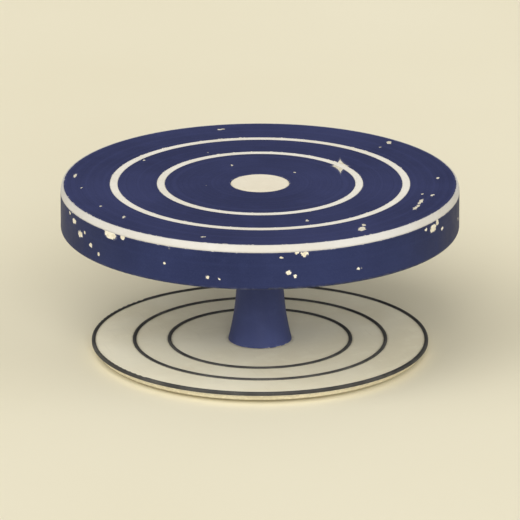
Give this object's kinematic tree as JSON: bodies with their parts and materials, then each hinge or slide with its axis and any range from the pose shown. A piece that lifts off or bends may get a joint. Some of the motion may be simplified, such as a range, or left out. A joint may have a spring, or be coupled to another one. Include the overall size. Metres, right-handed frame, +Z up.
{
  "type": "pottery wheel",
  "caption": "Low hand-turned bench pottery wheel: thick round ringed head with an inertia rim, spinning on ball bearings in a flared pedestal over a thin round beaded base plate.",
  "frame": {"origin": "on the spin axis at floor level, under the rubber feet", "axes": "+Z up along the spin axis; +X to the right and +Y away from the front. The round wheel has no front, so the two feet at -Y stand at the front"},
  "size_m": [0.3, 0.3, 0.1326],
  "materials": {
    "navy_enamel": "satin",
    "cream_enamel": "satin",
    "pale_inlay": "satin",
    "dark_cord": "satin",
    "black_rubber": "matte",
    "turned_steel": "satin",
    "bearing_steel": "polished",
    "screw_steel": "satin",
    "spring_steel": "satin",
    "cage_polymer": "satin"
  },
  "bodies": {
    "base": {"pedestal": "navy_enamel", "base_plate": "cream_enamel", "base_bead_inner": "dark_cord", "base_bead_middle": "dark_cord", "base_edge_bead": "dark_cord", "pedestal_screws": "screw_steel", "rubber_feet": "black_rubber", "foot_screws": "screw_steel", "upper_bearing_outer_race": "bearing_steel", "upper_bearing_seals": "black_rubber", "bearing_circlip": "spring_steel", "lower_bearing_outer_race": "bearing_steel", "lower_bearing_seals": "black_rubber", "preload_wave_washer": "spring_steel"},
    "head": {"wheelhead": "navy_enamel", "inertia_rim": "navy_enamel", "rim_band": "pale_inlay", "inner_centring_ring": "pale_inlay", "outer_centring_ring": "pale_inlay", "hub_cap": "cream_enamel", "hub_cap_seal": "black_rubber", "hub_screws": "screw_steel", "rim_screws": "screw_steel", "spindle": "turned_steel", "v_ring_seal": "black_rubber", "spindle_circlip": "spring_steel", "upper_bearing_inner_race": "bearing_steel", "lower_bearing_inner_race": "bearing_steel"},
    "upper_cage": {"upper_bearing_balls": "bearing_steel", "upper_bearing_cage": "cage_polymer"},
    "lower_cage": {"lower_bearing_balls": "bearing_steel", "lower_bearing_cage": "cage_polymer"}
  },
  "joints": [
    {"name": "head_spin", "type": "hinge", "parent": "base", "child": "head", "pos_m": [0, 0, 0], "axis": [0, 0, 1], "continuous": true},
    {"name": "upper_cage_orbit", "type": "hinge", "parent": "base", "child": "upper_cage", "pos_m": [0, 0, 0], "axis": [0, 0, 1], "continuous": true},
    {"name": "lower_cage_orbit", "type": "hinge", "parent": "base", "child": "lower_cage", "pos_m": [0, 0, 0], "axis": [0, 0, 1], "continuous": true}
  ],
  "couplings": [
    {"joint": "upper_cage_orbit", "follows": "head_spin", "ratio": 0.3815},
    {"joint": "lower_cage_orbit", "follows": "head_spin", "ratio": 0.381}
  ]
}
